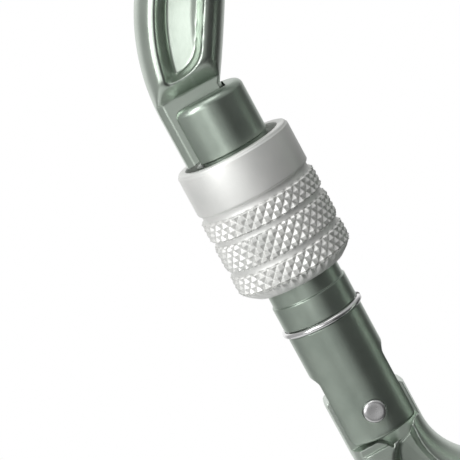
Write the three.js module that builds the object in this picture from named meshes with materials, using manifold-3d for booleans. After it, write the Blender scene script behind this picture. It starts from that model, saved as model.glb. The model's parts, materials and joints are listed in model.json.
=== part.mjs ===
// Pear-shaped locking carabiner with a screw sleeve. Millimetres, +Z up, Y across the thickness.
// The spine stands upright on the +X side and the gate leans on the -X side.
// The design is drawn round the hinge pin; at the end it is moved so that the origin is the
// middle of the upper basket's inner face, which is where the carabiner hangs.
// Gate coordinates are (n, t, y): t runs up the gate from the pin, n points into the basket.

import * as THREE from 'three';
import Module from 'manifold-3d';
import { mergeVertices } from 'three/addons/utils/BufferGeometryUtils.js';

const wasm = await Module();
wasm.setup();

const DEG = Math.PI / 180;

// Gate direction
const GATE_LEAN = 28.6;
const GATE_ANGLE = 90 + GATE_LEAN;
const AXIS = new THREE.Vector3(Math.cos(GATE_ANGLE * DEG), 0, Math.sin(GATE_ANGLE * DEG));
const INWARD = new THREE.Vector3(Math.cos(GATE_LEAN * DEG), 0, Math.sin(GATE_LEAN * DEG));

// Frame outline: arcs in the XZ plane round the pin
const SHOULDER = { x: -2.0, z: 52.2, r: 29.6 };
const SHOULDER_INNER = { x: -4.2, z: 55.0, r: 15.5 };
const CROWN = { x: 1.21, z: 47.62, r: 35.19 };
const CROWN_INNER = { x: -2.1, z: 43.1, r: 27.6 };
const BOWL = { x: 15.71, z: 3.04, r: 20.7 };
const BOWL_INNER = { x: 15.71, z: 3.04, r: 9.8 };
const CROWN_START = 125;
const CROWN_INNER_START = 100;
const SEAT_HALF_ANGLE = 4;
const SPINE_MIDDLE = 25;

// Frame section
const FLANGE_HALF = 5.2;
const WEB_HALF = 2.3;
const NOSE_HALF = 2.75;
const OUTLINE_STEP = 8;

// Nose plate, in gate coordinates
const NOSE_OUTER = -6.36;
const NOSE_INNER = 2.9;
const NOSE_START = 38;
const NOSE_STRAIGHT_TOP = 46.79;
const NOSE_CORNER = 47.8;
const NOSE_END_RADIUS = 40.13;
const NECK_TOP = { x: -19.7, z: 55.0, t: 57.72 };
const NECK_CONTROL = { x: -19.9, z: 48.0 };
const STEP_START = 49.5;
const STEP_TOP = 52.0;
const NOTCH = { low: 42.3, high: 44.0, depth: 1.2 };

// Hinge end of the frame, in gate coordinates
const TAB_HALF = 2.3;
const TAB_SIDE = 5.45;
const TAB_SHELF = 3.3;
const LOFT_TOP = 4.6;
const SHOULDER_LINE = -5.5;
const EAR_SWEEP = 6.4;
const CAM_BASE = 3.173;
const CAM_RATE = 0.99;
const CAM_FROM = -10;
const CAM_TO = 55;
const TAB_CORNER = 0.95;

// Hinge rivet
const RIVET_RADIUS = 1.55;
const RIVET_HALF = 5.8;
const GATE_HOLE = 1.6;
const TAB_HOLE = 1.62;

// Gate barrel
const BARREL = 5.4;
const BARREL_LOW = -3.8;
const BARREL_TOP = 47.2;
const WAIST = 5.17;
const WAIST_LOW = 17.55;
const WAIST_TOP = 39.5;
const EAR_SIDE = 4.72;
const EAR_TOP = 5.85;
const EAR_RUNOUT = 7.1;
const FORK_HALF = 2.5;
const FORK_FLOOR = 5.2;
const NOSE_SLOT_HALF = 2.95;
const NOSE_SLOT_WALL = 3.2;
const NOSE_SLOT_FLOOR = 39.0;
const LATCH = { low: 42.6, high: 43.7, reach: 1.5 };
const SPRING_BORE = 2.0;
const SPRING_BORE_END = 19.0;

// Stop ring and its groove
const RING_LEVEL = 13.6;
const RING_RADIUS = 5.5;
const RING_WIRE = 0.4;
const GROOVE_HALF = 0.5;
const GROOVE_RADIUS = 4.95;
const RING_GAP = 14;

// Thread shared by the gate and the sleeve: right-handed, single start
const PITCH = 2.0;
const GATE_THREAD = { low: 20.3, high: 38.8, root: 5.05, crest: 5.8, rootHalf: 0.62, crestHalf: 0.25 };
const NUT_THREAD = { low: 26.3, high: 32.3, root: 6.15, crest: 5.45, rootHalf: 0.62, crestHalf: 0.25 };
const TURN_STEPS = 18;

// Locking sleeve
const SLEEVE_LOW = 19.85;
const SLEEVE_TOP = 39.3;
const KNURL = 8.36;
const KNURL_GROOVE = 7.9;
const COLLAR_GROOVE = 7.8;
const COLLAR = 8.15;
const SLEEVE_BORE = 6.0;
const HOOD_BORE = 6.75;
const HOOD_FLOOR = 32.9;

// Spring plunger and spring
const PLUNGER_TIP = 3.4;
const PLUNGER_RADIUS = 1.8;
const PLUNGER_TIP_RADIUS = 2.0;
const PLUNGER_BACK = 8.5;
const STEM_RADIUS = 0.9;
const STEM_END = 12.0;
const SPRING = { low: 8.8, high: 18.7, radius: 1.35, wire: 0.25, turns: 7 };

const GATE_BASIS = new THREE.Matrix4().makeBasis(INWARD, AXIS, new THREE.Vector3(0, -1, 0));

// ---------- solids ----------

function solidOf(geometry) {
  const bare = geometry.clone();
  bare.deleteAttribute('normal');
  bare.deleteAttribute('uv');
  const merged = mergeVertices(bare, 1e-4);
  const vertProperties = new Float32Array(merged.attributes.position.array);
  const triVerts = new Uint32Array(merged.index.array);
  return new wasm.Manifold(new wasm.Mesh({ numProp: 3, vertProperties, triVerts }));
}

function geometryOf(solid) {
  const mesh = solid.getMesh();
  const geometry = new THREE.BufferGeometry();
  const positions = new Float32Array(mesh.numVert * 3);
  for (let v = 0; v < mesh.numVert; v++) {
    for (let k = 0; k < 3; k++) {
      positions[3 * v + k] = mesh.vertProperties[v * mesh.numProp + k];
    }
  }
  geometry.setAttribute('position', new THREE.BufferAttribute(positions, 3));
  geometry.setIndex(new THREE.BufferAttribute(new Uint32Array(mesh.triVerts), 1));
  geometry.computeVertexNormals();
  return geometry;
}

function block(size, centre) {
  return new THREE.BoxGeometry(...size).translate(...centre);
}

// A round bar across the thickness, in gate coordinates.
function crossBar(radius, halfLength, segments = 32) {
  return new THREE.CylinderGeometry(radius, radius, 2 * halfLength, segments).rotateX(Math.PI / 2);
}

// A round bar along the gate.
function axialBar(radius, low, high, segments = 32) {
  return new THREE.CylinderGeometry(radius, radius, high - low, segments).translate(0, (low + high) / 2, 0);
}

// A flat outline in the (n, t) plane made into a slab across the thickness.
function slab(shape, halfThickness) {
  const options = { depth: 2 * halfThickness, bevelEnabled: false, curveSegments: 12 };
  return new THREE.ExtrudeGeometry(shape, options).translate(0, 0, -halfThickness);
}

function lathe(points, segments) {
  return new THREE.LatheGeometry(points.map(([r, t]) => new THREE.Vector2(r, t)), segments);
}

// A trapezoid ridge on a helix round the gate axis, closed at both ends.
function threadRidge({ low, high, root, crest, rootHalf, crestHalf }, phase) {
  const turns = (high - low - 2 * rootHalf) / PITCH;
  const steps = Math.round(turns * TURN_STEPS);
  const section = [[root, -rootHalf], [crest, -crestHalf], [crest, crestHalf], [root, rootHalf]];
  const start = Math.ceil((low + rootHalf - phase) / PITCH * TURN_STEPS) / TURN_STEPS * PITCH + phase;
  const positions = [];
  const index = [];
  for (let i = 0; i <= steps; i++) {
    const level = start + (PITCH * i) / TURN_STEPS;
    const turn = ((level - phase) / PITCH) * 2 * Math.PI;
    for (const [r, dt] of section) {
      positions.push(r * Math.sin(turn), level + dt, r * Math.cos(turn));
    }
  }
  for (let i = 0; i < steps; i++) {
    for (let k = 0; k < 4; k++) {
      const a = 4 * i + k;
      const b = 4 * i + ((k + 1) % 4);
      index.push(a, a + 4, b, b, a + 4, b + 4);
    }
  }
  const last = 4 * steps;
  index.push(0, 1, 2, 0, 2, 3);
  index.push(last, last + 2, last + 1, last, last + 3, last + 2);
  const geometry = new THREE.BufferGeometry();
  geometry.setAttribute('position', new THREE.Float32BufferAttribute(positions, 3));
  geometry.setIndex(crest > root ? index : index.reverse());
  return geometry;
}

// ---------- frame ----------

function onArc(arc, degrees, radius = arc.r) {
  return { x: arc.x + radius * Math.cos(degrees * DEG), z: arc.z + radius * Math.sin(degrees * DEG) };
}

function gatePoint(t, n) {
  return { x: t * AXIS.x + n * INWARD.x, z: t * AXIS.z + n * INWARD.z };
}

// The point of the gate-side shoulder arc at height t along the gate.
function shoulderAt(t) {
  const rise = t - (SHOULDER.x * AXIS.x + SHOULDER.z * AXIS.z);
  return GATE_ANGLE + Math.acos(rise / SHOULDER.r) / DEG;
}

// One cross-section: outer and inner edge points, how far the plate has grown into the
// I-beam (0 to 1), and how deep its pocket is (0 to 1).
function section(outer, inner, beam, pocket) {
  const half = THREE.MathUtils.lerp(NOSE_HALF, FLANGE_HALF, beam);
  const width = Math.hypot(inner.x - outer.x, inner.z - outer.z);
  const mix = (plate, grown) => half * THREE.MathUtils.lerp(plate, grown, beam);
  const floor = half - pocket * (half - WEB_HALF);
  const wall = 0.61 * width;
  const profile = [
    [0, mix(0.53, 0.46)],
    [0.5, mix(0.76, 0.75)],
    [1.2, mix(1, 0.92)],
    [2.1, half],
    [2.7, half],
    [3.9, floor],
    [wall, floor],
    [wall + 1.1, half],
    [wall + 1.7, half],
    [width - 1.5, mix(1, 0.94)],
    [width - 0.5, mix(0.92, 0.69)],
    [width, mix(0.84, 0.29)],
  ];
  const loop = [...profile, ...profile.map(([s, y]) => [s, -y]).reverse()];
  const dx = (inner.x - outer.x) / width;
  const dz = (inner.z - outer.z) / width;
  return loop.map(([s, y]) => new THREE.Vector3(outer.x + s * dx, y, outer.z + s * dz));
}

function noseSections() {
  const neck = new THREE.QuadraticBezierCurve(
    new THREE.Vector2(gatePoint(NOSE_CORNER, NOSE_INNER).x, gatePoint(NOSE_CORNER, NOSE_INNER).z),
    new THREE.Vector2(NECK_CONTROL.x, NECK_CONTROL.z),
    new THREE.Vector2(NECK_TOP.x, NECK_TOP.z),
  );
  const innerAt = (t) => {
    const p = neck.getPoint((t - NOSE_CORNER) / (NECK_TOP.t - NOSE_CORNER));
    return { x: p.x, z: p.y };
  };
  const rows = [NOSE_START, NOSE_STRAIGHT_TOP].map((t) =>
    section(gatePoint(t, NOSE_OUTER), gatePoint(t, NOSE_INNER), 0, 0));
  const growth = [[NOSE_CORNER, 0], [STEP_START, 0], [50.3, 0.4], [51.2, 0.85], [STEP_TOP, 1]];
  for (const [t, beam] of growth) {
    rows.push(section(onArc(SHOULDER, shoulderAt(t)), innerAt(t), beam, 0));
  }
  const fanStart = shoulderAt(STEP_TOP);
  const fanSteps = 4;
  for (let i = 1; i < fanSteps; i++) {
    const part = i / fanSteps;
    const angle = THREE.MathUtils.lerp(fanStart, 180, part);
    const level = THREE.MathUtils.lerp(STEP_TOP, NECK_TOP.t, part);
    rows.push(section(onArc(SHOULDER, angle), innerAt(level), 1, Math.min(1, 0.45 * i)));
  }
  return rows;
}

// Angles that step round a bend, with the seat's flat kept level about its lowest or highest point.
function bendAngles(from, seat, to) {
  const angles = [];
  for (let a = from; a > seat + SEAT_HALF_ANGLE + 1; a -= OUTLINE_STEP) {
    angles.push(a);
  }
  angles.push(seat + SEAT_HALF_ANGLE, seat, seat - SEAT_HALF_ANGLE);
  for (let a = seat - SEAT_HALF_ANGLE - OUTLINE_STEP; a > to + 1; a -= OUTLINE_STEP) {
    angles.push(a);
  }
  angles.push(to);
  return angles;
}

function crownSections() {
  return bendAngles(180, 90, 0).map((angle) => {
    const outerArc = angle > CROWN_START ? SHOULDER : CROWN;
    const innerArc = angle > CROWN_INNER_START ? SHOULDER_INNER : CROWN_INNER;
    const flat = angle === 90 ? Math.cos(SEAT_HALF_ANGLE * DEG) : 1;
    return section(onArc(outerArc, angle), onArc(innerArc, angle, innerArc.r * flat), 1, 1);
  });
}

function bowlSections() {
  const end = GATE_LEAN - 180;
  return bendAngles(0, -90, end).map((angle) => {
    const flat = angle === -90 ? Math.cos(SEAT_HALF_ANGLE * DEG) : 1;
    const pocket = angle > end + 12 ? 1 : 0;
    return section(onArc(BOWL, angle), onArc(BOWL_INNER, angle, BOWL_INNER.r * flat), 1, pocket);
  });
}

function loft(rows) {
  const count = rows[0].length;
  const positions = rows.flat().flatMap((p) => [p.x, p.y, p.z]);
  const index = [];
  for (let i = 0; i + 1 < rows.length; i++) {
    for (let k = 0; k < count; k++) {
      const a = i * count + k;
      const b = i * count + ((k + 1) % count);
      index.push(a, a + count, b, b, a + count, b + count);
    }
  }
  // Each end is closed by strips from one half of the section to its mirror image.
  const end = (rows.length - 1) * count;
  for (let k = 0; k + 1 < count / 2; k++) {
    const mirrored = count - 1 - k;
    index.push(k, k + 1, mirrored, k + 1, mirrored - 1, mirrored);
    index.push(end + k, end + mirrored, end + k + 1, end + k + 1, end + mirrored, end + mirrored - 1);
  }
  const geometry = new THREE.BufferGeometry();
  geometry.setAttribute('position', new THREE.Float32BufferAttribute(positions, 3));
  geometry.setIndex(index);
  return geometry;
}

// Everything above the hinge tab: its shelf, the cam that lifts the plunger, and its corner.
function aboveTab() {
  const shape = new THREE.Shape();
  shape.moveTo(-8, LOFT_TOP + 2);
  shape.lineTo(-8, TAB_SHELF - 1);
  shape.lineTo(-TAB_SIDE, TAB_SHELF - 1);
  shape.absarc(1 - TAB_SIDE, TAB_SHELF - 1, 1, Math.PI, Math.PI / 2, true);
  shape.lineTo(-1.5, TAB_SHELF);
  for (let phi = CAM_FROM; phi <= CAM_TO; phi += 5) {
    const r = CAM_BASE + CAM_RATE * phi * DEG;
    shape.lineTo(r * Math.sin(phi * DEG), r * Math.cos(phi * DEG));
  }
  shape.lineTo(TAB_SIDE, TAB_CORNER);
  shape.lineTo(8, TAB_CORNER);
  shape.lineTo(8, LOFT_TOP + 2);
  shape.closePath();
  return slab(shape, 8);
}

// The space beside the tab that the gate's ears turn in.
function earSpace(side) {
  const thick = 4;
  const middle = side * (TAB_HALF + thick / 2);
  const above = solidOf(block([16, 16, thick], [0, SHOULDER_LINE + 8, middle]));
  const sweep = solidOf(crossBar(EAR_SWEEP, thick / 2, 48).translate(0, 0, middle));
  const inside = solidOf(block([8, 16, thick], [4, 0, middle]));
  return above.add(sweep.intersect(inside));
}

// Everything below the end of the nose plate, on the sweep of the sleeve's rim.
function belowNose() {
  const shape = new THREE.Shape();
  const left = -8;
  const right = 5;
  const angle = (n) => Math.acos(n / NOSE_END_RADIUS);
  shape.moveTo(left, NOSE_START - 1);
  shape.lineTo(right, NOSE_START - 1);
  shape.absarc(0, 0, NOSE_END_RADIUS, angle(right), angle(left), false);
  shape.closePath();
  return slab(shape, 8);
}

function frameGeometry() {
  const spine = section(
    { x: CROWN.x + CROWN.r, z: SPINE_MIDDLE }, { x: CROWN_INNER.x + CROWN_INNER.r, z: SPINE_MIDDLE }, 1, 1);
  const tabTop = section(gatePoint(LOFT_TOP, -TAB_SIDE), gatePoint(LOFT_TOP, TAB_SIDE), 1, 0);
  const blank = solidOf(loft([...noseSections(), ...crownSections(), spine, ...bowlSections(), tabTop]));
  const notchWidth = 4;
  const notch = block(
    [notchWidth, NOTCH.high - NOTCH.low, 8],
    [NOTCH.depth + notchWidth / 2, (NOTCH.low + NOTCH.high) / 2, 0]);
  const cuts = [
    solidOf(aboveTab()),
    earSpace(1),
    earSpace(-1),
    solidOf(belowNose()),
    solidOf(notch),
    solidOf(crossBar(TAB_HOLE, 4)),
  ];
  return geometryOf(cuts.reduce((left, cut) => left.subtract(cut.transform(GATE_BASIS.elements)), blank));
}

// ---------- gate ----------

function barrelOutline() {
  const shape = new THREE.Shape();
  const wide = BARREL + 0.1;
  shape.moveTo(-EAR_SIDE, EAR_TOP);
  shape.absarc(1.3 - EAR_SIDE, BARREL_LOW + 1.3, 1.3, Math.PI, 1.5 * Math.PI, false);
  shape.absarc(EAR_SIDE - 0.7, BARREL_LOW + 0.7, 0.7, 1.5 * Math.PI, 2 * Math.PI, false);
  shape.lineTo(EAR_SIDE, EAR_TOP);
  shape.lineTo(wide, EAR_RUNOUT);
  shape.lineTo(wide, BARREL_TOP + 1);
  shape.lineTo(-wide, BARREL_TOP + 1);
  shape.lineTo(-wide, EAR_RUNOUT);
  shape.closePath();
  return slab(shape, BARREL + 1);
}

function gateBarrelGeometry() {
  const turned = lathe([
    [0, BARREL_LOW], [BARREL, BARREL_LOW],
    [BARREL, RING_LEVEL - GROOVE_HALF], [GROOVE_RADIUS, RING_LEVEL - GROOVE_HALF],
    [GROOVE_RADIUS, RING_LEVEL + GROOVE_HALF], [BARREL, RING_LEVEL + GROOVE_HALF],
    [BARREL, WAIST_LOW], [WAIST, WAIST_LOW + 0.1],
    [WAIST, WAIST_TOP - 0.1], [BARREL, WAIST_TOP],
    [BARREL, BARREL_TOP - 1.07], [BARREL - 0.32, BARREL_TOP - 0.32],
    [BARREL - 1.07, BARREL_TOP], [0, BARREL_TOP],
  ], TURN_STEPS * 2);
  const slotWidth = NOSE_SLOT_WALL + 8;
  const slotHeight = 12;
  const noseSlot = block(
    [slotWidth, slotHeight, 2 * NOSE_SLOT_HALF],
    [NOSE_SLOT_WALL - slotWidth / 2, NOSE_SLOT_FLOOR + slotHeight / 2, 0]);
  const latch = block(
    [NOSE_SLOT_WALL + 0.5 - LATCH.reach, LATCH.high - LATCH.low, 2 * NOSE_SLOT_HALF + 0.6],
    [(NOSE_SLOT_WALL + 0.5 + LATCH.reach) / 2, (LATCH.high + LATCH.low) / 2, 0]);
  const fork = block([14, 12, 2 * FORK_HALF], [0, FORK_FLOOR - 6, 0]);
  const body = solidOf(turned)
    .intersect(solidOf(barrelOutline()))
    .add(solidOf(threadRidge(GATE_THREAD, 0)))
    .subtract(solidOf(noseSlot))
    .add(solidOf(latch))
    .subtract(solidOf(fork))
    .subtract(solidOf(axialBar(SPRING_BORE, FORK_FLOOR - 1, SPRING_BORE_END, 24)))
    .subtract(solidOf(crossBar(GATE_HOLE, 7)));
  return geometryOf(body);
}

function rivetGeometry() {
  const edge = 0.25;
  return lathe([
    [0, -RIVET_HALF], [RIVET_RADIUS - edge, -RIVET_HALF], [RIVET_RADIUS, -RIVET_HALF + edge],
    [RIVET_RADIUS, RIVET_HALF - edge], [RIVET_RADIUS - edge, RIVET_HALF], [0, RIVET_HALF],
  ], 32).rotateX(Math.PI / 2);
}

function plungerGeometry() {
  const points = [];
  const tipSteps = 6;
  const last = Math.asin(PLUNGER_RADIUS / PLUNGER_TIP_RADIUS);
  for (let i = 0; i <= tipSteps; i++) {
    const a = (last * i) / tipSteps;
    const rise = PLUNGER_TIP_RADIUS * (1 - Math.cos(a));
    points.push([i === 0 ? 0 : PLUNGER_TIP_RADIUS * Math.sin(a), PLUNGER_TIP + rise]);
  }
  points.push([PLUNGER_RADIUS, PLUNGER_BACK], [STEM_RADIUS, PLUNGER_BACK]);
  points.push([STEM_RADIUS, STEM_END - 0.2], [STEM_RADIUS - 0.2, STEM_END], [0, STEM_END]);
  return lathe(points, 24);
}

class Helix extends THREE.Curve {
  constructor({ low, high, radius, turns }) {
    super();
    Object.assign(this, { low, high, radius, turns });
  }

  getPoint(part, target = new THREE.Vector3()) {
    const angle = 2 * Math.PI * this.turns * part;
    const level = THREE.MathUtils.lerp(this.low, this.high, part);
    return target.set(this.radius * Math.cos(angle), level, this.radius * Math.sin(angle));
  }
}

function wireShape(radius, sides) {
  const points = [];
  for (let i = 0; i < sides; i++) {
    const a = (2 * Math.PI * i) / sides;
    points.push(new THREE.Vector2(radius * Math.cos(a), radius * Math.sin(a)));
  }
  return new THREE.Shape(points);
}

function springGeometry() {
  const { low, high, wire } = SPRING;
  const path = new Helix({ ...SPRING, low: low + wire, high: high - wire });
  const options = { steps: SPRING.turns * 12, bevelEnabled: false, extrudePath: path };
  return new THREE.ExtrudeGeometry(wireShape(wire, 6), options);
}

// ---------- stop ring and sleeve ----------

class RingCurve extends THREE.Curve {
  getPoint(part, target = new THREE.Vector3()) {
    const angle = (RING_GAP / 2 + (360 - RING_GAP) * part) * DEG;
    return target.set(RING_RADIUS * Math.cos(angle), RING_LEVEL, RING_RADIUS * Math.sin(angle));
  }
}

function ringGeometry() {
  const options = { steps: 36, bevelEnabled: false, extrudePath: new RingCurve() };
  return new THREE.ExtrudeGeometry(wireShape(RING_WIRE, 8), options);
}

function sleeveGeometry() {
  const body = lathe([
    [SLEEVE_BORE, SLEEVE_LOW], [6.4, SLEEVE_LOW], [6.75, 20.1], [7.77, 20.9], [KNURL, 21.4],
    [KNURL, 24.1], [KNURL_GROOVE, 24.2], [KNURL_GROOVE, 24.8], [KNURL, 24.9],
    [KNURL, 28.7], [KNURL_GROOVE, 28.75], [KNURL_GROOVE, 29.35], [KNURL, 29.4],
    [KNURL, 32.2], [COLLAR_GROOVE, 32.35], [COLLAR_GROOVE, 33.15], [COLLAR, 33.3],
    [COLLAR, SLEEVE_TOP - 0.4], [COLLAR - 0.4, SLEEVE_TOP], [HOOD_BORE + 0.2, SLEEVE_TOP],
    [HOOD_BORE, SLEEVE_TOP - 0.2], [HOOD_BORE, HOOD_FLOOR], [SLEEVE_BORE, HOOD_FLOOR],
    [SLEEVE_BORE, SLEEVE_LOW],
  ], TURN_STEPS * 2);
  return geometryOf(solidOf(body).add(solidOf(threadRidge(NUT_THREAD, PITCH / 2))));
}

// ---------- assembly ----------

const FINISHES = {
  anodised: { color: 0x8f9a90, roughness: 0.38, metalness: 0.85 },
  satin: { color: 0xd9dad7, roughness: 0.35, metalness: 0.9 },
  steel: { color: 0xb4b6b5, roughness: 0.22, metalness: 1.0 },
  spring: { color: 0x8c8e90, roughness: 0.3, metalness: 1.0 },
};

function piece(name, geometry, finish) {
  const mesh = new THREE.Mesh(geometry, new THREE.MeshStandardMaterial(FINISHES[finish]));
  mesh.name = name;
  return mesh;
}

const gate = new THREE.Group();
gate.add(
  piece('gate_barrel', gateBarrelGeometry(), 'anodised'),
  piece('hinge_rivet', rivetGeometry(), 'steel'),
  piece('spring_plunger', plungerGeometry(), 'steel'),
  piece('gate_spring', springGeometry(), 'spring'),
  piece('stop_ring', ringGeometry(), 'steel'),
  piece('locking_sleeve', sleeveGeometry(), 'satin'),
);
gate.setRotationFromMatrix(GATE_BASIS);

const carabiner = new THREE.Group();
carabiner.add(piece('frame', frameGeometry(), 'anodised'), gate);
const seatHeight = CROWN_INNER.z + CROWN_INNER.r * Math.cos(SEAT_HALF_ANGLE * DEG);
carabiner.position.set(-CROWN_INNER.x, 0, -seatHeight);
carabiner.updateMatrixWorld(true);

export default carabiner;
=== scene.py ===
"""Looks of the locking carabiner: forged frame, gate, knurled sleeve, ring, rivet, plunger, spring."""

import json
import math

import bmesh
import bpy
import numpy as np
from mathutils import Matrix, Vector


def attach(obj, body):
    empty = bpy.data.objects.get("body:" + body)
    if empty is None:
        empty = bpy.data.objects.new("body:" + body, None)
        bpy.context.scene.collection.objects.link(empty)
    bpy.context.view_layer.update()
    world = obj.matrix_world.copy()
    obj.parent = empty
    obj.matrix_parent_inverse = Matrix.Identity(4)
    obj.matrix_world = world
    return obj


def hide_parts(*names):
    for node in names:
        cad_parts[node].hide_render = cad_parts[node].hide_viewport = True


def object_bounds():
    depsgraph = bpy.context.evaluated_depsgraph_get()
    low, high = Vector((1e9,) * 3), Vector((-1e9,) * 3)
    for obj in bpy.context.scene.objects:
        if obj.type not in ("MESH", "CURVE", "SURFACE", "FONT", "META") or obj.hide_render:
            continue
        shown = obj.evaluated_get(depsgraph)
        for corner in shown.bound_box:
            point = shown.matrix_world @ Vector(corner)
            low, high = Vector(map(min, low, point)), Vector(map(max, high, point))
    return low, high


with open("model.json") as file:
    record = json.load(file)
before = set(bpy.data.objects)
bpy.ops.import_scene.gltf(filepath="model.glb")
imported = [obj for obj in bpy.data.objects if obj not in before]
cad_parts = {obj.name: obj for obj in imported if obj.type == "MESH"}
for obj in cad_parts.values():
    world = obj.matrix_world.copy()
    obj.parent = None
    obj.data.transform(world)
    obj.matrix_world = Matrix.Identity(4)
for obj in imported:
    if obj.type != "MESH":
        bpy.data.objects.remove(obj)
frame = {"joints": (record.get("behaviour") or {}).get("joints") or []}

CAD_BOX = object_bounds()
MM = 0.001
DEG = math.pi / 180

# ---------- the frame's own directions ----------

JOINTS = {joint["name"]: joint for joint in frame["joints"]}
PIN = Vector(JOINTS["gate_hinge"]["pos_m"])
AXIS = Vector(JOINTS["sleeve_turn"]["axis"]).normalized()
INWARD = Vector((AXIS.z, 0, -AXIS.x))
LEAN = math.degrees(math.atan2(INWARD.z, INWARD.x))

# ---------- dimensions in millimetres, from the hinge pin ----------

# Arcs of the frame's outer and inner edges: x, z and radius, with x and z in the row frame's directions.
SHOULDER = (-2.0, 52.2, 29.6)
SHOULDER_INNER = (-4.2, 55.0, 15.5)
CROWN = (1.21, 47.62, 35.19)
CROWN_INNER = (-2.1, 43.1, 27.6)
BOWL = (15.71, 3.04, 20.7)
BOWL_INNER = (15.71, 3.04, 9.8)
CROWN_START = 125
CROWN_INNER_START = 100

# Half-thicknesses of the forging, and how far its edges are rounded.
FLANGE_HALF = 5.2
WEB_HALF = 2.3
PLATE_HALF = 2.75
TAB_HALF = 2.3
OUTER_ROUND = 2.6
INNER_ROUND = 3.1
ACROSS = 97

# Nose of the frame: n is inward from the gate axis, t is along it.
NOSE_OUTER = -6.36
NOSE_INNER = 2.9
NOSE_CORNER = 47.8
NOSE_START = 38.5
NOSE_END_RADIUS = 40.13
NECK_TOP_T = 57.72
FAN_START = 52
NECK_TOP = (-19.7, 55.0)
NECK_CONTROL = (-19.9, 48.0)
RAMP_FOOT = 48.8
RAMP_LENGTH = 2.6
NOTCH_LOW = 42.3
NOTCH_TOP = 44.0

# Hinge end of the frame: the tab, its cam, and the hollows that the ears of the gate sweep.
TAB_SIDE = 5.45
TAB_SHELF = 3.3
TAB_CORNER = 0.95
LOFT_TOP = 4.6
CAM_BASE = 3.173
CAM_RATE = 0.99
EAR_SWEEP = 6.45
EAR_SWEEP_HIGH = 4.42
LEDGE_HALF = 4.4
PIN_HOLE = 1.62

# Gate: radii, and levels along its axis.
BARREL = 5.4
BARREL_LOW = -3.8
BARREL_TOP = 47.2
BARREL_EDGE = 0.45
TIP_FILLET = 1.07
WAIST = 5.17
WAIST_LOW = 17.6
WAIST_TOP = 39.4
EAR_SIDE = 4.72
FORK_TOP = 5.2
FORK_HALF = 2.5
NOSE_SLOT_HALF = 2.95
RIVET_HOLE = 1.6
PITCH = 2.0

# Stop ring and the groove that it lies in.
RING_T = 13.6
RING_RADIUS = 5.5
RING_WIRE = 0.4
GROOVE = 4.95

# Rivet, plunger and spring.
RIVET_HALF = 5.8
PLUNGER_LOW = 3.4
PLUNGER_BALL = 2.0
SPRING_TURNS = 7
SPRING_LOW = 9.65
SPRING_TOP = 18.45
SPRING_RADIUS = 1.35
SPRING_WIRE = 0.25

# Sleeve: radii, levels and knurl.
SLEEVE_LOW = 19.85
SLEEVE_TOP = 39.3
SLEEVE_BORE = 6.0
COUNTERBORE = 6.75
COLLAR = 8.15
NECK = 7.86
KNURL = 8.34
KNURL_DEPTH = 0.4
KNURL_COUNT = 35
KNURL_PITCH = 1.6
KNURL_START = 7.77


# ---------- mesh helpers ----------

def from_gate(points):
    """(n, y, t) millimetres in gate directions to metres in the row frame."""
    points = np.asarray(points, float)
    across = np.outer(points[:, 0], INWARD)
    along = np.outer(points[:, 2], AXIS)
    side = np.outer(points[:, 1], (0, 1, 0))
    return (across + along + side) * MM + np.array(PIN)


def from_pin(points):
    """(x, y, z) millimetres from the pin to metres in the row frame."""
    return np.asarray(points, float) * MM + np.array(PIN)


def make_object(name, points, faces, material=None):
    mesh = bpy.data.meshes.new(name)
    mesh.from_pydata([tuple(p) for p in points], [], [tuple(f) for f in faces])
    mesh.validate()
    mesh.update()
    piece = bpy.data.objects.new(name, mesh)
    bpy.context.scene.collection.objects.link(piece)
    if material:
        mesh.materials.append(material)
    return piece


def face_outwards(piece):
    """Turns a closed mesh's faces out."""
    mesh = piece.data
    mesh.calc_loop_triangles()
    co = np.empty(len(mesh.vertices) * 3)
    mesh.vertices.foreach_get("co", co)
    co = co.reshape(-1, 3) - co.reshape(-1, 3).mean(0)
    tris = np.empty(len(mesh.loop_triangles) * 3, int)
    mesh.loop_triangles.foreach_get("vertices", tris)
    a, b, c = (co[tris.reshape(-1, 3)[:, k]] for k in range(3))
    if np.einsum("ij,ij->i", a, np.cross(b, c)).sum() < 0:
        mesh.flip_normals()
    return piece


def smooth(piece, angle=32):
    piece.data.shade_smooth()
    piece.data.set_sharp_from_angle(angle=math.radians(angle))
    return piece


def even_out(piece, angle):
    """Cleans a cut mesh and lets its large faces decide how it is shaded."""
    work = bmesh.new()
    work.from_mesh(piece.data)
    bmesh.ops.remove_doubles(work, verts=work.verts, dist=0.002 * MM)
    bmesh.ops.dissolve_degenerate(work, edges=work.edges, dist=0.002 * MM)
    work.to_mesh(piece.data)
    work.free()
    smooth(piece, angle)
    modifier = piece.modifiers.new("normals", "WEIGHTED_NORMAL")
    modifier.keep_sharp = True
    modifier.weight = 80
    return apply_modifiers(piece)


def apply_modifiers(piece):
    bpy.context.view_layer.update()
    evaluated = piece.evaluated_get(bpy.context.evaluated_depsgraph_get())
    mesh = bpy.data.meshes.new_from_object(evaluated)
    piece.modifiers.clear()
    piece.data = mesh
    return piece


def grid_faces(rows, columns, close_rows=False):
    """Quads of a grid whose rows are closed rings, joined from last row to first if asked."""
    faces = []
    for i in range(rows if close_rows else rows - 1):
        a, b = i * columns, ((i + 1) % rows) * columns
        for k in range(columns):
            k2 = (k + 1) % columns
            faces.append((a + k, a + k2, b + k2, b + k))
    return faces


def capped_faces(rows, columns):
    """The same grid with a flat face over its first row and its last."""
    first, last = tuple(range(columns))[::-1], tuple(range((rows - 1) * columns, rows * columns))
    return grid_faces(rows, columns) + [first, last]


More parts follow.
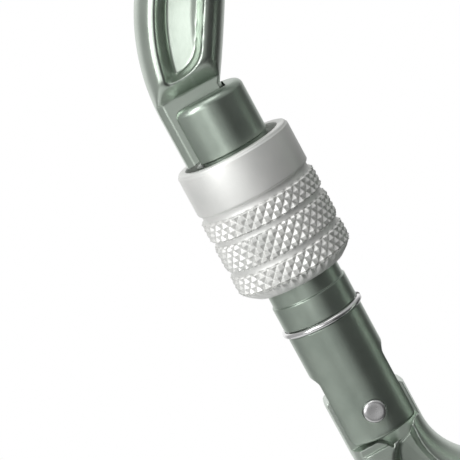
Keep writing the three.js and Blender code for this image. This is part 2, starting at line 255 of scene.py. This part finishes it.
def revolve(name, profile, segments, material=None, closed=False, radius_at=None):
    """Turns (radius, t) points about the gate axis. Open profiles get a flat cap at each end."""
    angles = 2 * math.pi * np.arange(segments) / segments
    points = []
    for r, t in profile:
        radii = radius_at(r, t, angles) if radius_at else np.full(segments, r)
        level = np.full(segments, t)
        points.append(np.stack([radii * np.sin(angles), radii * np.cos(angles), level], 1))
    rows = len(profile)
    faces = grid_faces(rows, segments, True) if closed else capped_faces(rows, segments)
    return face_outwards(make_object(name, from_gate(np.concatenate(points)), faces, material))


def taper(name, first, last, first_y, last_y):
    """A plate whose (n, t) outline changes from one face to the other."""
    points = [(n, first_y, t) for n, t in first] + [(n, last_y, t) for n, t in last]
    return face_outwards(make_object(name, from_gate(points), capped_faces(2, len(first))))


def slab(name, outline, half):
    """An (n, t) outline made into a plate across the thickness."""
    return taper(name, outline, outline, -half, half)


def box(name, n_range, t_range, half):
    """A square-cornered plate between two values of n and two of t."""
    (n0, n1), (t0, t1) = n_range, t_range
    return slab(name, [(n0, t0), (n1, t0), (n1, t1), (n0, t1)], half)


def cross_bar(name, half, radius, segments=72):
    """A round bar across the thickness about the pin."""
    return slab(name, arc((0, 0), radius, 0, 360 - 360 / segments, segments), half)


def arc(centre, radius, start, end, steps):
    """Points round an arc in the (n, t) plane, angles in degrees from n towards t."""
    return [
        (centre[0] + radius * math.cos(a * DEG), centre[1] + radius * math.sin(a * DEG))
        for a in np.linspace(start, end, steps)
    ]


def combine(piece, cutter, operation="DIFFERENCE"):
    """Applies an exact boolean and removes the cutter."""
    modifier = piece.modifiers.new("cut", "BOOLEAN")
    modifier.object = cutter
    modifier.operation = operation
    modifier.solver = "EXACT"
    apply_modifiers(piece)
    bpy.data.objects.remove(cutter)
    return piece


# ---------- materials ----------

def new_material(name):
    material = bpy.data.materials.new(name)
    material.use_nodes = True
    nodes = material.node_tree.nodes
    return material, nodes, material.node_tree.links, nodes["Principled BSDF"]


def noise(nodes, links, scale, detail=4.0, roughness=0.55, stretch=None):
    """Noise in object space, in metres, optionally stretched by a mapping scale."""
    place = nodes.new("ShaderNodeTexCoord")
    mapping = nodes.new("ShaderNodeMapping")
    mapping.inputs["Scale"].default_value = stretch or (1, 1, 1)
    texture = nodes.new("ShaderNodeTexNoise")
    texture.inputs["Scale"].default_value = scale
    texture.inputs["Detail"].default_value = detail
    texture.inputs["Roughness"].default_value = roughness
    links.new(place.outputs["Object"], mapping.inputs["Vector"])
    links.new(mapping.outputs["Vector"], texture.inputs["Vector"])
    return texture


def ramp(nodes, links, source, stops):
    node = nodes.new("ShaderNodeValToRGB")
    elements = node.color_ramp.elements
    while len(elements) < len(stops):
        elements.new(0.5)
    for element, (at, colour) in zip(elements, stops):
        element.position = at
        element.color = (*colour, 1) if len(colour) == 3 else colour
    links.new(source, node.inputs["Fac"])
    return node


def grey(value):
    return (value, value, value)


def edge_wear(nodes, links, colour, worn):
    """Mixes a worn colour in on raised edges, broken up by noise."""
    geometry = nodes.new("ShaderNodeNewGeometry")
    edges = ramp(nodes, links, geometry.outputs["Pointiness"], [(0.52, grey(0)), (0.6, grey(1))])
    broken = noise(nodes, links, 900, detail=3)
    keep = nodes.new("ShaderNodeMath")
    keep.operation = "MULTIPLY"
    links.new(edges.outputs["Color"], keep.inputs[0])
    links.new(broken.outputs["Fac"], keep.inputs[1])
    mix = nodes.new("ShaderNodeMix")
    mix.data_type = "RGBA"
    links.new(keep.outputs[0], mix.inputs["Factor"])
    links.new(colour, mix.inputs["A"])
    mix.inputs["B"].default_value = (*worn, 1)
    return mix.outputs["Result"]


def metal(name, dark, light, roughness, grain, bump, rounding=0.0, worn=None, metallic=0.95):
    """Blasted or anodised metal: cloudy colour, fine grain in roughness and bump, optional edge wear."""
    material, nodes, links, shader = new_material(name)
    shader.inputs["Metallic"].default_value = metallic
    clouds = noise(nodes, links, 220, detail=5)
    colour = ramp(nodes, links, clouds.outputs["Fac"], [(0.3, dark), (0.7, light)])
    colour_out = colour.outputs["Color"]
    if worn:
        colour_out = edge_wear(nodes, links, colour_out, worn)
    links.new(colour_out, shader.inputs["Base Color"])
    fine = noise(nodes, links, grain, detail=3)
    glossy, matt = grey(roughness - 0.05), grey(roughness + 0.06)
    rough = ramp(nodes, links, fine.outputs["Fac"], [(0.25, glossy), (0.75, matt)])
    links.new(rough.outputs["Color"], shader.inputs["Roughness"])
    relief = nodes.new("ShaderNodeBump")
    relief.inputs["Strength"].default_value = bump
    relief.inputs["Distance"].default_value = 0.00003
    links.new(fine.outputs["Fac"], relief.inputs["Height"])
    if rounding:
        soft = nodes.new("ShaderNodeBevel")
        soft.samples = 6
        soft.inputs["Radius"].default_value = rounding * MM
        links.new(soft.outputs["Normal"], relief.inputs["Normal"])
    links.new(relief.outputs["Normal"], shader.inputs["Normal"])
    return material


def forged_finish():
    """Grey-green anodising over blasted aluminium, rubbed paler along its edges."""
    dark, light, worn = (0.43, 0.49, 0.43), (0.50, 0.56, 0.50), (0.6, 0.64, 0.6)
    return metal("frame_anodising", dark, light, 0.32, 9000, 0.25, rounding=0.25, worn=worn)


def turned_finish():
    """The same anodising over turned aluminium, a little deeper."""
    dark, light = (0.33, 0.385, 0.335), (0.40, 0.46, 0.40)
    return metal("gate_anodising", dark, light, 0.33, 9000, 0.3, rounding=0.2)


def sleeve_metal():
    """Matt silver aluminium."""
    dark, light = (0.68, 0.69, 0.67), (0.76, 0.76, 0.74)
    return metal("silver_satin", dark, light, 0.52, 7000, 0.3, rounding=0.05, metallic=0.6)


def steel(name, roughness, tone=0.58):
    return metal(name, grey(tone), grey(tone + 0.08), roughness, 5000, 0.2, rounding=0.06)


# ---------- forged frame ----------

def on_arc(circle, degrees):
    x, z, r = circle
    return np.array((x + r * math.cos(degrees * DEG), z + r * math.sin(degrees * DEG)))


def gate_point(t, n):
    return np.array((t * AXIS.x + n * INWARD.x, t * AXIS.z + n * INWARD.z))


def shoulder_angle(t):
    """Angle of the gate-side shoulder arc's point at height t along the gate."""
    rise = t - (SHOULDER[0] * AXIS.x + SHOULDER[1] * AXIS.z)
    return 90 + LEAN + math.degrees(math.acos(rise / SHOULDER[2]))


def neck_point(part):
    """The inner edge between the nose plate's corner and the upper basket, part from 0 to 1."""
    start = gate_point(NOSE_CORNER, NOSE_INNER)
    control, end = np.array(NECK_CONTROL), np.array(NECK_TOP)
    return (1 - part) ** 2 * start + 2 * part * (1 - part) * control + part ** 2 * end


def nose_rails():
    """The straight nose, then the shoulder's arc against the edge that leads into the basket."""
    straight_top = SHOULDER[0] * AXIS.x + SHOULDER[1] * AXIS.z
    rails = [(gate_point(t, NOSE_OUTER), gate_point(t, NOSE_INNER))
             for t in np.linspace(NOSE_START, straight_top, 14, endpoint=False)]
    neck_length = NECK_TOP_T - NOSE_CORNER
    for t in np.linspace(straight_top, FAN_START, 48, endpoint=False):
        past_corner = (t - NOSE_CORNER) / neck_length
        inner = gate_point(t, NOSE_INNER) if past_corner < 0 else neck_point(past_corner)
        rails.append((on_arc(SHOULDER, shoulder_angle(t)), inner))
    fan = shoulder_angle(FAN_START)
    start = (FAN_START - NOSE_CORNER) / neck_length
    for part in np.linspace(0, 1, 44, endpoint=False):
        rails.append((on_arc(SHOULDER, fan + (180 - fan) * part), neck_point(start + (1 - start) * part)))
    return rails


def straight_rails(first, last, steps):
    """Pairs of edge points spread evenly between two pairs, both ends left out."""
    return [(first[0] + (last[0] - first[0]) * part, first[1] + (last[1] - first[1]) * part)
            for part in np.linspace(0, 1, steps, endpoint=False)[1:]]


def frame_rails():
    """Matched outer and inner edge points, from the nose to the hinge."""
    rails = nose_rails()
    for angle in np.linspace(180, 0, 150):
        outer = SHOULDER if angle > CROWN_START else CROWN
        inner = SHOULDER_INNER if angle > CROWN_INNER_START else CROWN_INNER
        rails.append((on_arc(outer, angle), on_arc(inner, angle)))
    rails += straight_rails(rails[-1], (on_arc(BOWL, 0), on_arc(BOWL_INNER, 0)), 30)
    rails += [(on_arc(BOWL, angle), on_arc(BOWL_INNER, angle)) for angle in np.linspace(0, LEAN - 180, 120)]
    stop = (gate_point(LOFT_TOP, -TAB_SIDE), gate_point(LOFT_TOP, TAB_SIDE))
    rails += straight_rails(rails[-1], stop, 13) + [stop]
    return np.array([r[0] for r in rails]), np.array([r[1] for r in rails])


def tangent_normals(rail):
    """Unit normals to a rail, to the left of its direction."""
    step = np.gradient(rail, axis=0)
    step /= np.linalg.norm(step, axis=1)[:, None]
    return np.stack([-step[:, 1], step[:, 0]], 1)


def soft_min(a, b, k):
    h = np.clip(0.5 + 0.5 * (b - a) / k, 0, 1)
    return b * (1 - h) + a * h - k * h * (1 - h)


def ease(x):
    x = np.clip(x, 0, 1)
    return x * x * (3 - 2 * x)


def rounded(distance, width, height):
    """Height of an elliptical edge at a distance in from it."""
    x = np.clip(distance / width, 0, 1)
    return height * np.sqrt(np.clip(1 - (1 - x) ** 2, 0, 1))


def flange_height(d_out, d_in, near_nose, past_ramp):
    """Half-thickness without the pocket: rounded flanges, then the ramp down to the nose plate."""
    outer_edge = rounded(d_out, OUTER_ROUND, FLANGE_HALF)
    inner_edge = rounded(d_in, INNER_ROUND, FLANGE_HALF)
    flange = soft_min(outer_edge, inner_edge, 0.5)
    climb = np.clip(past_ramp / RAMP_LENGTH, 0, 1.8)
    y = soft_min(flange, PLATE_HALF + (FLANGE_HALF - PLATE_HALF) * climb, 0.8)
    y = np.where(near_nose & (past_ramp < 0), np.minimum(flange, PLATE_HALF), y)
    chamfer = 1.75 + d_out + 4 * np.maximum(past_ramp, 0)
    return np.where(near_nose, np.minimum(y, chamfer), y)


def pocket_depth(d_out, d_in, past_ramp, past_hinge):
    """How much of the pocket is sunk, 0 to 1. Its outer wall swings inwards as it nears the hinge."""
    wall_start = 2.2 + 5.2 * np.exp(-past_hinge / 10)
    wall_width = 2.1 - 0.9 * np.exp(-past_hinge / 15)
    outer_wall = ease((d_out - wall_start) / wall_width)
    inner_edge = soft_min(d_in, (past_ramp + 0.6) * 1.15, 2.5)
    inner_wall = ease((inner_edge - 3.0 + 1.3 * np.exp(-past_hinge / 40)) / 0.85)
    return outer_wall * inner_wall


def frame_height(d_out, d_in, t, n, bowl_angle):
    """Half-thickness of the forging at a place, from its distances to the two edges."""
    near_nose = (t > 30) & (n < 8)
    past_ramp = np.where(near_nose, t - RAMP_FOOT, 99.0)
    past_hinge = np.maximum(180 - LEAN + bowl_angle, 0)
    y = flange_height(d_out, d_in, near_nose, past_ramp)
    tab = (t > -4.85) & (t < 8) & (np.abs(n) < 8)
    depth = np.where(tab, 0, pocket_depth(d_out, d_in, past_ramp, past_hinge))
    web = WEB_HALF + 0.2 * np.clip(d_out - 5.7, -1.6, 1.6)
    return y - (y - web) * depth


def frame_loops():
    """Cross-sections of the forging as closed rows of points: one side, then the other mirrored."""
    outer, inner = frame_rails()
    width = np.linalg.norm(inner - outer, axis=1)
    direction = (inner - outer) / width[:, None]
    facing_out = np.abs(np.einsum("ij,ij->i", direction, tangent_normals(outer)))
    facing_in = np.abs(np.einsum("ij,ij->i", direction, tangent_normals(inner)))
    across = 0.5 * (1 - np.cos(math.pi * np.arange(ACROSS) / (ACROSS - 1)))
    spot = outer[:, None] + (inner - outer)[:, None] * across[None, :, None]
    d_out = across[None] * (width * facing_out)[:, None]
    d_in = (1 - across[None]) * (width * facing_in)[:, None]
    t = spot[..., 0] * AXIS.x + spot[..., 1] * AXIS.z
    n = spot[..., 0] * INWARD.x + spot[..., 1] * INWARD.z
    bowl_angle = np.degrees(np.arctan2(spot[..., 1] - BOWL[1], spot[..., 0] - BOWL[0]))
    bowl_angle = np.where((spot[..., 1] < BOWL[1]) & (bowl_angle < 0), bowl_angle, 0)
    y = frame_height(d_out, d_in, t, n, bowl_angle)
    y[:, 0] = 0
    y[:, -1] = 0
    top = np.stack([spot[..., 0], y, spot[..., 1]], -1)
    low = top[:, -2:0:-1] * np.array((1, -1, 1))
    return np.concatenate([top, low], 1)


def build_frame(material):
    loops = frame_loops()
    faces = capped_faces(*loops.shape[:2])
    body = face_outwards(make_object("frame_body", from_pin(loops.reshape(-1, 3)), faces, material))
    cut_tab_top(body)
    cut_ear_hollows(body)
    combine(body, cross_bar("pin_hole", 4, PIN_HOLE))
    cut_nose_end(body)
    return even_out(body, 38)


def cam_point(phi):
    """A point of the plunger's cam: it stands further out the further the gate is open."""
    radius = CAM_BASE + CAM_RATE * phi * DEG
    return radius * math.sin(phi * DEG), radius * math.cos(phi * DEG)


def cut_tab_top(body):
    """Takes away what is above the tab's shelf, its cam and its inner corner."""
    beyond, top, corner = 8, LOFT_TOP + 2, TAB_CORNER - 0.4
    outline = [(-beyond, top), (-beyond, TAB_SHELF - 1), (-TAB_SIDE, TAB_SHELF - 1)]
    outline += arc((1 - TAB_SIDE, TAB_SHELF - 1), 1, 180, 90, 8) + [(-1.5, TAB_SHELF)]
    outline += [cam_point(phi) for phi in range(-10, 56, 3)] + [(TAB_SIDE - 0.6, TAB_CORNER + 0.25)]
    outline += [(TAB_SIDE, corner), (beyond, corner), (beyond, top)]
    combine(body, slab("above_tab", outline, 9))


def ear_hollow(foot_t, sweep, end_t):
    """Outline of the hollow beside the tab: flat under the gate, then round the pin."""
    outline = [(-9, foot_t), (-1.6, foot_t), (-0.4, -5.3)] + arc((0, 0), sweep, -87, -38, 14)
    return outline + [(9, end_t), (9, 9), (-9, 9)]


def cut_ear_hollows(body):
    """The hollow each ear sweeps, wider at the tab than at the flange, and the ledge outside it."""
    outside = 7.0
    foot, edge = ear_hollow(-4.15, EAR_SWEEP, -3.8), ear_hollow(-4.4, EAR_SWEEP_HIGH, -2.6)
    ledge = [(-9, -5.2), (0.5, -5.2), (1.8, -4.9), (3.4, -4.3), (9, -2.6), (9, 9), (-9, 9)]
    for side in (1, -1):
        combine(body, taper("shoulder", foot, edge, side * TAB_HALF, side * outside))
        combine(body, taper("ledge", ledge, ledge, side * LEDGE_HALF, side * outside))


def cut_nose_end(body):
    """The end of the nose plate, round the sweep of the sleeve's rim, and the latch notch."""
    end = arc((0, 0), NOSE_END_RADIUS, math.degrees(math.acos(5 / NOSE_END_RADIUS)),
              math.degrees(math.acos(-8 / NOSE_END_RADIUS)), 24)
    combine(body, slab("below_nose", [(-8, NOSE_START - 1), (5, NOSE_START - 1)] + end, 8))
    combine(body, box("notch", (1.2, 6), (NOTCH_LOW, NOTCH_TOP), 8))


# ---------- gate ----------

def thread_ridge(name, low, high, root, crest, phase, material=None, steps=48):
    """A trapezoid ridge on the gate's helix, rising towards the nose as it turns."""
    half_root, half_crest = 0.62, 0.25
    count = int((high - low - 2 * half_root) / PITCH * steps)
    start = math.ceil((low + half_root - phase) / PITCH * steps) / steps * PITCH + phase
    section = [(root, -half_root), (crest, -half_crest), (crest, half_crest), (root, half_root)]
    points = []
    for i in range(count + 1):
        level = start + PITCH * i / steps
        turn = (level - phase) / PITCH * 2 * math.pi
        points += [(r * math.sin(turn), -r * math.cos(turn), level + dt) for r, dt in section]
    faces = grid_faces(count + 1, 4)
    faces += [(0, 1, 2, 3), tuple(range(4 * count + 3, 4 * count - 1, -1))]
    return face_outwards(make_object(name, from_gate(points), faces, material))


def gate_profile():
    """Half section of the turned barrel: rounded foot, ring groove, thread relief and rounded tip."""
    axis_radius = 0.02
    foot, tip = BARREL - BARREL_EDGE, BARREL - TIP_FILLET
    profile = [(axis_radius, BARREL_LOW), (foot, BARREL_LOW)]
    profile += arc((foot, BARREL_LOW + BARREL_EDGE), BARREL_EDGE, -75, 0, 6)
    profile += [(BARREL, t) for t in np.arange(BARREL_LOW + 0.8, RING_T - 0.6, 0.4)]
    profile += [(BARREL, RING_T - 0.5), (GROOVE, RING_T - 0.48)]
    profile += [(GROOVE, RING_T + 0.48), (BARREL, RING_T + 0.5)]
    profile += [(BARREL, WAIST_LOW - 0.15), (BARREL - 0.05, WAIST_LOW - 0.07), (WAIST, WAIST_LOW)]
    profile += [(WAIST, WAIST_TOP), (BARREL, WAIST_TOP + 0.1)]
    profile += arc((tip, BARREL_TOP - TIP_FILLET), TIP_FILLET, 0, 90, 10)
    return profile + [(axis_radius, BARREL_TOP)]


def gate_outline():
    """Outline of the gate seen from the side: flat-sided ears that flare into the round barrel."""
    wide, top = BARREL + 0.2, BARREL_TOP + 1
    outer_round, inner_round = 1.3, 0.7
    flare = [(0, 5.6), (0.06, 6.1), (0.3, 6.55), (0.62, 6.95), (wide - EAR_SIDE, 7.1)]
    outline = arc((outer_round - EAR_SIDE, BARREL_LOW + outer_round), outer_round, 180, 270, 10)
    outline += arc((EAR_SIDE - inner_round, BARREL_LOW + inner_round), inner_round, 270, 360, 8)
    outline += [(EAR_SIDE + out, t) for out, t in flare] + [(wide, top), (-wide, top)]
    return outline + [(-EAR_SIDE - out, t) for out, t in reversed(flare)]


def build_gate(material):
    gate = revolve("gate_body", gate_profile(), 160, material)
    combine(gate, slab("outline", gate_outline(), 7), "INTERSECT")
    combine(gate, thread_ridge("screw", 20.3, 38.8, 5.05, 5.8, 0), "UNION")
    combine(gate, box("nose_slot", (-9, 3.2), (39, 52), NOSE_SLOT_HALF))
    combine(gate, box("latch", (1.5, 3.6), (NOTCH_LOW + 0.3, NOTCH_TOP - 0.3), 3.2), "UNION")
    combine(gate, box("fork", (-8, 8), (-8, FORK_TOP), FORK_HALF))
    combine(gate, revolve("bore", [(2, 4), (2, 18.6), (1.2, 19.0)], 48))
    combine(gate, cross_bar("rivet_hole", 8, RIVET_HOLE))
    return even_out(gate, 35)


def build_rivet(material):
    """A headed pin: its ends are dished a little by the press and rounded at the edge."""
    sides = 64
    head = [(0.02, 0.05), (0.7, 0.03), (1.05, 0), (1.3, 0.03), (1.46, 0.12), (1.55, 0.28)]
    profile = [(r, -RIVET_HALF + sunk) for r, sunk in head]
    profile += [(r, RIVET_HALF - sunk) for r, sunk in reversed(head)]
    angles = 2 * math.pi * np.arange(sides) / sides
    points = [(r * math.cos(a), y, r * math.sin(a)) for r, y in profile for a in angles]
    faces = capped_faces(len(profile), sides)
    return smooth(face_outwards(make_object("rivet_pin", from_gate(points), faces, material)), 50)


def build_plunger(material):
    """A ball-ended follower with a thin stem that goes up inside the spring."""
    tip = arc((0, PLUNGER_LOW + PLUNGER_BALL), PLUNGER_BALL, -89, -26, 12)
    profile = tip + [(1.8, 5.0), (1.8, 8.4), (1.7, 8.5), (0.9, 8.5), (0.9, 11.8), (0.7, 12.0), (0.02, 12.0)]
    return smooth(revolve("plunger_pin", profile, 48, material))


def tube(name, path, radius, sides, material):
    """A round wire along a list of (n, y, t) points, with flat ends."""
    path = np.asarray(path, float)
    step = np.gradient(path, axis=0)
    step /= np.linalg.norm(step, axis=1)[:, None]
    outward = path * np.array((1, 1, 0))
    outward -= step * np.einsum("ij,ij->i", outward, step)[:, None]
    outward /= np.linalg.norm(outward, axis=1)[:, None]
    other = np.cross(step, outward)
    points = []
    for centre, a, b in zip(path, outward, other):
        for k in range(sides):
            angle = 2 * math.pi * k / sides
            points.append(centre + radius * (a * math.cos(angle) + b * math.sin(angle)))
    faces = capped_faces(len(path), sides)
    return smooth(face_outwards(make_object(name, from_gate(points), faces, material)), 60)


def build_spring(material):
    """An open coil whose end turns lie nearly flat."""
    path = []
    for part in np.linspace(0, 1, SPRING_TURNS * 32 + 1):
        level = SPRING_LOW + (SPRING_TOP - SPRING_LOW) * np.clip((part - 0.1) / 0.8, 0, 1)
        end_turn_rise = 0.27 * (part - 0.5)
        angle = 2 * math.pi * SPRING_TURNS * part
        n, y = SPRING_RADIUS * math.cos(angle), SPRING_RADIUS * math.sin(angle)
        path.append((n, y, level + end_turn_rise))
    return tube("spring_coil", path, SPRING_WIRE, 12, material)


def build_ring(material):
    """A split ring of wire, its gap on the inner side."""
    path = [(n, y, RING_T) for n, y in arc((0, 0), RING_RADIUS, 7, 353, 140)]
    return tube("ring_wire", path, RING_WIRE, 20, material)


# ---------- sleeve ----------

def knurled(r, t, angles):
    """Radius round one ring: diamond knurl where the profile asks for it by a negative radius."""
    if r > 0:
        return np.full(len(angles), r)
    a = KNURL_COUNT * angles / (2 * math.pi) + t / KNURL_PITCH
    b = KNURL_COUNT * angles / (2 * math.pi) - t / KNURL_PITCH
    rise_a = 1 - np.abs(2 * (a % 1) - 1)
    rise_b = 1 - np.abs(2 * (b % 1) - 1)
    height = np.minimum(np.minimum(rise_a, rise_b), 0.9) / 0.9
    return -r - KNURL_DEPTH * (1 - height)


def band(low, high):
    """Profile of one knurled band with a small bevel at each end."""
    rows = max(int(round((high - low) / (KNURL_PITCH / 16))), 8)
    points = []
    for t in np.linspace(low, high, rows):
        edge = min((t - low) / 0.2, (high - t) / 0.2, 1)
        points.append((-(KNURL - 0.22 * (1 - edge)), t))
    return points


def sleeve_outside():
    """Outer profile, foot to top: flared foot, three knurled bands, a neck and the plain collar."""
    wall, lip = NECK + 0.04, COLLAR - 0.01
    profile = [(SLEEVE_BORE, SLEEVE_LOW), (6.3, SLEEVE_LOW), (6.45, 19.88), (6.75, 20.1), (7.25, 20.48)]
    profile += [(-(KNURL_START + (KNURL - KNURL_START) * part), 20.9 + 0.5 * part)
                for part in np.linspace(0, 1, 6)]
    profile += band(21.45, 24.1) + [(wall, 24.14), (NECK, 24.3), (NECK, 24.7), (wall, 24.86)]
    profile += band(24.9, 28.65) + [(wall, 28.69), (NECK, 28.85), (NECK, 29.2), (wall, 29.36)]
    profile += band(29.4, 32.15) + [(7.84, 32.19), (7.78, 32.4), (7.78, 33.0)]
    profile += [(7.84, 33.12), (8.06, 33.22), (lip, 33.34), (COLLAR, 33.5), (COLLAR, 38.75)]
    return profile + [(8.12, 38.86), (8.0, 38.95), (7.98, 39.0), (7.95, 39.12), (7.86, 39.24)]


def sleeve_inside():
    """Inner profile, top to foot: the rounded rim, the counterbore over the nose, and the bore."""
    profile = [(7.7, SLEEVE_TOP), (7.0, SLEEVE_TOP), (6.84, 39.26), (COUNTERBORE, 39.12)]
    profile += [(COUNTERBORE, 36.0), (COUNTERBORE, 33.0), (6.68, 32.9), (6.08, 32.9)]
    return profile + [(SLEEVE_BORE, 32.8), (SLEEVE_BORE, 26.0), (SLEEVE_BORE, 20.1)]


def build_sleeve(material):
    profile, segments = sleeve_outside() + sleeve_inside(), KNURL_COUNT * 16
    sleeve = revolve("sleeve_body", profile, segments, material, closed=True, radius_at=knurled)
    ridge = thread_ridge("nut_thread", 26.3, 32.3, 6.15, 5.45, PITCH / 2, material)
    return smooth(sleeve, 40), smooth(ridge, 40)


# ---------- staging ----------

def camera_axes(azimuth, elevation, roll):
    a, e = azimuth * DEG, elevation * DEG
    back = Vector((math.sin(a) * math.cos(e), -math.cos(a) * math.cos(e), math.sin(e)))
    right = Vector((math.cos(a), math.sin(a), 0))
    up = back.cross(right)
    turn = Matrix.Rotation(roll * DEG, 3, back)
    return turn @ right, turn @ up, back


def build_camera():
    """Long lens on the gate side, a little above the gate's middle and towards its nose."""
    right, up, back = camera_axes(-4.8, 8.7, 0.35)
    lens, sensor, across = 200.0, 36.0, 61.7 * MM
    aim = PIN - right * 18.65 * MM + up * 23.1 * MM
    data = bpy.data.cameras.new("camera")
    data.lens = lens
    data.sensor_width = sensor
    data.clip_start = 0.01
    data.clip_end = 50
    camera = bpy.data.objects.new("camera", data)
    bpy.context.scene.collection.objects.link(camera)
    camera.matrix_world = Matrix.Translation(aim + back * (across * lens / sensor)) @ Matrix(
        (right, up, back)).transposed().to_4x4()
    bpy.context.scene.camera = camera
    return aim


def add_light(name, target, direction, distance, size, power):
    """A soft rectangle of light, metres away from the target in a direction and facing it."""
    data = bpy.data.lights.new(name, "AREA")
    data.shape = "RECTANGLE"
    data.size, data.size_y = size
    data.energy = power
    light = bpy.data.objects.new(name, data)
    bpy.context.scene.collection.objects.link(light)
    direction = Vector(direction).normalized()
    light.location = target + direction * distance
    light.rotation_euler = direction.to_track_quat("Z", "Y").to_euler()


def smooth_step(nodes, links, source, low, high, out_low, out_high):
    node = nodes.new("ShaderNodeMapRange")
    node.interpolation_type = "SMOOTHSTEP"
    for key, value in (("From Min", low), ("From Max", high), ("To Min", out_low), ("To Max", out_high)):
        node.inputs[key].default_value = value
    links.new(source, node.inputs["Value"])
    return node.outputs["Result"]


def white_background(nodes):
    node = nodes.new("ShaderNodeBackground")
    node.inputs["Color"].default_value = (1, 1, 1, 1)
    return node


def build_world():
    """White to the camera; as light, bright behind and above, softer on the gate side, dark at the spine."""
    world = bpy.data.worlds.new("studio")
    bpy.context.scene.world = world
    world.use_nodes = True
    nodes, links = world.node_tree.nodes, world.node_tree.links
    nodes.clear()
    place = nodes.new("ShaderNodeTexCoord")
    split = nodes.new("ShaderNodeSeparateXYZ")
    links.new(place.outputs["Generated"], split.inputs["Vector"])
    parts = [
        smooth_step(nodes, links, split.outputs["Y"], 0.62, 0.92, 0.04, 0.95),
        smooth_step(nodes, links, split.outputs["X"], -0.9, 0.3, 0.40, 0.0),
        smooth_step(nodes, links, split.outputs["Z"], 0.1, 0.95, 0.0, 0.55),
    ]
    total = parts[0]
    for part in parts[1:]:
        add = nodes.new("ShaderNodeMath")
        links.new(total, add.inputs[0])
        links.new(part, add.inputs[1])
        total = add.outputs[0]
    lit, seen = white_background(nodes), white_background(nodes)
    links.new(total, lit.inputs["Strength"])
    path = nodes.new("ShaderNodeLightPath")
    mix = nodes.new("ShaderNodeMixShader")
    out = nodes.new("ShaderNodeOutputWorld")
    links.new(path.outputs["Is Camera Ray"], mix.inputs["Fac"])
    links.new(lit.outputs["Background"], mix.inputs[1])
    links.new(seen.outputs["Background"], mix.inputs[2])
    links.new(mix.outputs["Shader"], out.inputs["Surface"])


def build_floor():
    """A pale round floor, well below the carabiner."""
    material, nodes, links, shader = new_material("pale_floor")
    tint = ramp(nodes, links, noise(nodes, links, 3).outputs["Fac"], [(0.0, grey(0.86)), (1.0, grey(0.9))])
    links.new(tint.outputs["Color"], shader.inputs["Base Color"])
    shader.inputs["Roughness"].default_value = 0.9
    count, reach, drop = 96, 0.3, 0.26
    level = CAD_BOX[0].z - drop
    points = [(reach * math.cos(2 * math.pi * k / count), reach * math.sin(2 * math.pi * k / count), level)
              for k in range(count)]
    floor = make_object("floor", points, [tuple(range(count))], material)


def build_studio():
    aim = build_camera()
    build_world()
    build_floor()
    add_light("key", aim, (-0.78, -0.62, 0.1), 0.55, (0.2, 0.45), 2.0)
    add_light("top", aim, (-0.35, -0.35, 1.0), 0.6, (0.4, 0.3), 0.55)
    add_light("fill", aim, (-0.34, -0.93, -0.08), 0.8, (0.3, 0.3), 0.8)
    add_light("front", aim, (0.12, -1.0, -0.12), 0.9, (0.5, 0.5), 0.34)
    bpy.context.scene.view_settings.view_transform = "Standard"


# ---------- assembly ----------

def add(piece, body, node, slot):
    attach(piece, body)
    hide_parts(node)


def build_carabiner():
    add(build_frame(forged_finish()), "frame", "frame", "anodised_frame")
    add(build_gate(turned_finish()), "gate", "gate_barrel", "anodised_gate")
    add(build_rivet(steel("rivet_finish", 0.3, 0.55)), "gate", "hinge_rivet", "rivet_steel")
    add(build_spring(steel("spring_finish", 0.25)), "gate", "gate_spring", "spring_wire")
    add(build_plunger(steel("plunger_finish", 0.25)), "plunger", "spring_plunger", "plunger_steel")
    add(build_ring(steel("ring_finish", 0.18, 0.66)), "ring", "stop_ring", "ring_steel")
    for piece in build_sleeve(sleeve_metal()):
        add(piece, "sleeve", "locking_sleeve", "sleeve_aluminium")


build_studio()
build_carabiner()
